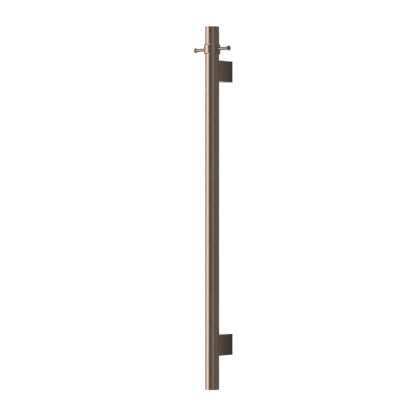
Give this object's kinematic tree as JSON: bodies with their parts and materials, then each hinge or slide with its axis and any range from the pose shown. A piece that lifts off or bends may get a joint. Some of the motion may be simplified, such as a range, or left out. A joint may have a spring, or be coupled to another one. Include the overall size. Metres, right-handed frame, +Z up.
{
  "type": "towel warmer rack",
  "caption": "Upright round heated towel rail on square-sided wall posts, with a sliding and turning hook ring near the top.",
  "frame": {"origin": "on the wall, midway between the two wall plates, at the centre of the four wall screw holes", "axes": "+Z up along the rail, +Y into the wall, +X to the right as seen from the room"},
  "size_m": [0.1176, 0.0805, 0.9],
  "materials": {
    "brushed_bronze": "brushed bronze plating, satin",
    "screw_steel": "stainless, turned",
    "plate_steel": "zinc plated, satin",
    "black_rubber": "matte moulded rubber",
    "black_nylon": "matte moulded nylon",
    "cable_silicone": "silicone sheath, satin",
    "carrier_silicone": "moulded silicone, matte",
    "cutout_case": "moulded phenolic, matte",
    "tinned_copper": "tin plated, crimped",
    "brown_lead": "extruded insulation",
    "blue_lead": "extruded insulation",
    "green_lead": "extruded insulation with a yellow stripe",
    "block_nylon": "moulded nylon",
    "clamp_brass": "drawn brass"
  },
  "bodies": {
    "rail": {"rail_tube": "brushed_bronze", "top_cap": "brushed_bronze", "bottom_cap": "brushed_bronze", "upper_post": "brushed_bronze", "lower_post": "brushed_bronze", "upper_post_screw": "screw_steel", "lower_post_screw": "screw_steel", "upper_backing_nut": "screw_steel", "lower_backing_nut": "screw_steel", "upper_lock_screw": "screw_steel", "lower_lock_screw": "screw_steel", "earth_screw": "screw_steel", "terminal_screws": "screw_steel", "terminal_block_screws": "screw_steel", "upper_wall_plate": "plate_steel", "lower_wall_plate": "plate_steel", "top_cap_seal": "black_rubber", "bottom_cap_seal": "black_rubber", "wall_cable_grommet": "black_rubber", "tube_grommet": "black_rubber", "heating_cable": "cable_silicone", "cable_carrier_1": "carrier_silicone", "cable_carrier_2": "carrier_silicone", "cable_carrier_3": "carrier_silicone", "cable_carrier_4": "carrier_silicone", "cable_carrier_5": "carrier_silicone", "cable_carrier_6": "carrier_silicone", "cutout_holder": "carrier_silicone", "thermal_cutout": "cutout_case", "live_splice": "tinned_copper", "neutral_splice": "tinned_copper", "earth_ring_terminal": "tinned_copper", "cutout_lead": "brown_lead", "live_lead": "brown_lead", "neutral_lead": "blue_lead", "earth_lead": "green_lead", "terminal_block": "block_nylon", "terminal_clamps": "clamp_brass"},
    "hook_liner": {"hook_liner": "black_nylon"},
    "hook_ring": {"hook_collar": "brushed_bronze", "left_hook_pin": "brushed_bronze", "right_hook_pin": "brushed_bronze", "collar_lock_screw": "screw_steel"}
  },
  "joints": [
    {"name": "hook_slide", "type": "slide", "parent": "rail", "child": "hook_liner", "axis": [0, 0, 1], "range_m": [-0.015, 0.0435]},
    {"name": "hook_turn", "type": "hinge", "parent": "hook_liner", "child": "hook_ring", "pos_m": [0, -0.06, 0.394], "axis": [0, 0, 1], "continuous": true}
  ]
}
